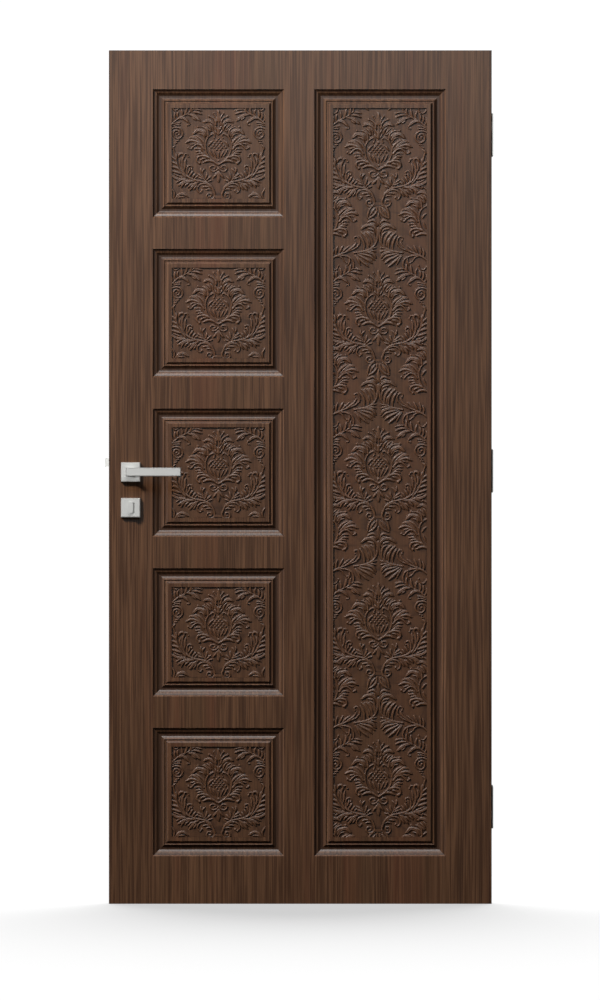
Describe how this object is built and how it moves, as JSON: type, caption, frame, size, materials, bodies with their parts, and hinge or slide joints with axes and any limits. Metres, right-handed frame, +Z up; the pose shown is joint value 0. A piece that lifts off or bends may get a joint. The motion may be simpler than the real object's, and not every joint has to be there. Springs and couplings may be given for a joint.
{
  "type": "carved panel door leaf",
  "caption": "Dark walnut door leaf with square and tall carved damask panels in moulded frames, a lever lock with privacy turn, and butt hinges.",
  "frame": {"origin": "middle of the leaf's bottom edge", "axes": "+X from the lock edge to the hinge edge, -Y the carved front, +Z up"},
  "size_m": [0.929, 0.146, 2.04],
  "materials": {
    "dark_walnut": "satin lacquer",
    "core_timber": "planed",
    "core_board": "pressed board",
    "satin_nickel": "satin",
    "plated_steel": "zinc plated",
    "spring_steel": "bare"
  },
  "bodies": {
    "frame_hinges": {"frame_plate_top": "satin_nickel", "frame_plate_middle": "satin_nickel", "frame_plate_bottom": "satin_nickel", "hinge_pin_top": "satin_nickel", "hinge_pin_middle": "satin_nickel", "hinge_pin_bottom": "satin_nickel"},
    "leaf": {"front_skin": "dark_walnut", "rear_skin": "dark_walnut", "lock_stile": "core_timber", "hinge_stile": "core_timber", "top_rail": "core_timber", "bottom_rail": "core_timber", "core_board": "core_board", "lock_lipping": "dark_walnut", "hinge_lipping": "dark_walnut", "carved_panel_1": "dark_walnut", "carved_panel_2": "dark_walnut", "carved_panel_3": "dark_walnut", "carved_panel_4": "dark_walnut", "carved_panel_5": "dark_walnut", "carved_panel_tall": "dark_walnut", "lock_case": "plated_steel", "lock_cover": "plated_steel", "forend_plate": "satin_nickel", "forend_screws": "satin_nickel", "latch_spring": "spring_steel", "return_spring": "spring_steel", "front_rose_base": "plated_steel", "rear_rose_base": "plated_steel", "front_rose_cover": "satin_nickel", "rear_rose_cover": "satin_nickel", "front_turn_base": "plated_steel", "rear_turn_base": "plated_steel", "front_turn_cover": "satin_nickel", "rear_turn_cover": "satin_nickel", "rose_screws": "plated_steel", "hinge_plate_top": "satin_nickel", "hinge_plate_middle": "satin_nickel", "hinge_plate_bottom": "satin_nickel", "hinge_screws": "satin_nickel"},
    "lever": {"front_lever": "satin_nickel", "rear_lever": "satin_nickel", "lever_spindle": "plated_steel", "lever_follower": "plated_steel", "front_grub_screw": "plated_steel", "rear_grub_screw": "plated_steel"},
    "latch": {"latch_bolt": "satin_nickel"},
    "turn": {"thumb_turn": "satin_nickel", "coin_release": "satin_nickel", "turn_spindle": "plated_steel", "bolt_cam": "plated_steel"},
    "bolt": {"dead_bolt": "satin_nickel"}
  },
  "joints": [
    {"name": "door_swing", "type": "hinge", "parent": "frame_hinges", "child": "leaf", "pos_m": [0.4565, 0.0255, 1.035], "axis": [0, 0, -1], "range_deg": [0, 105]},
    {"name": "lever_turn", "type": "hinge", "parent": "leaf", "child": "lever", "pos_m": [-0.4055, 0, 1.032], "axis": [0, 1, 0], "range_deg": [0, 40], "stiffness_Nm_per_rad": 1, "springref_deg": -57.3, "deforming": ["return_spring"]},
    {"name": "latch_slide", "type": "slide", "parent": "leaf", "child": "latch", "axis": [1, 0, 0], "range_m": [0, 0.012], "deforming": ["latch_spring"]},
    {"name": "snib_turn", "type": "hinge", "parent": "leaf", "child": "turn", "pos_m": [-0.4055, 0, 0.947], "axis": [0, -1, 0], "range_deg": [0, 90]},
    {"name": "bolt_slide", "type": "slide", "parent": "leaf", "child": "bolt", "axis": [-1, 0, 0], "range_m": [0, 0.01415]}
  ],
  "couplings": [
    {"joint": "latch_slide", "follows": "lever_turn", "m_per_rad": 0.017146},
    {"joint": "bolt_slide", "follows": "snib_turn", "m_per_rad": 0.0090032}
  ]
}
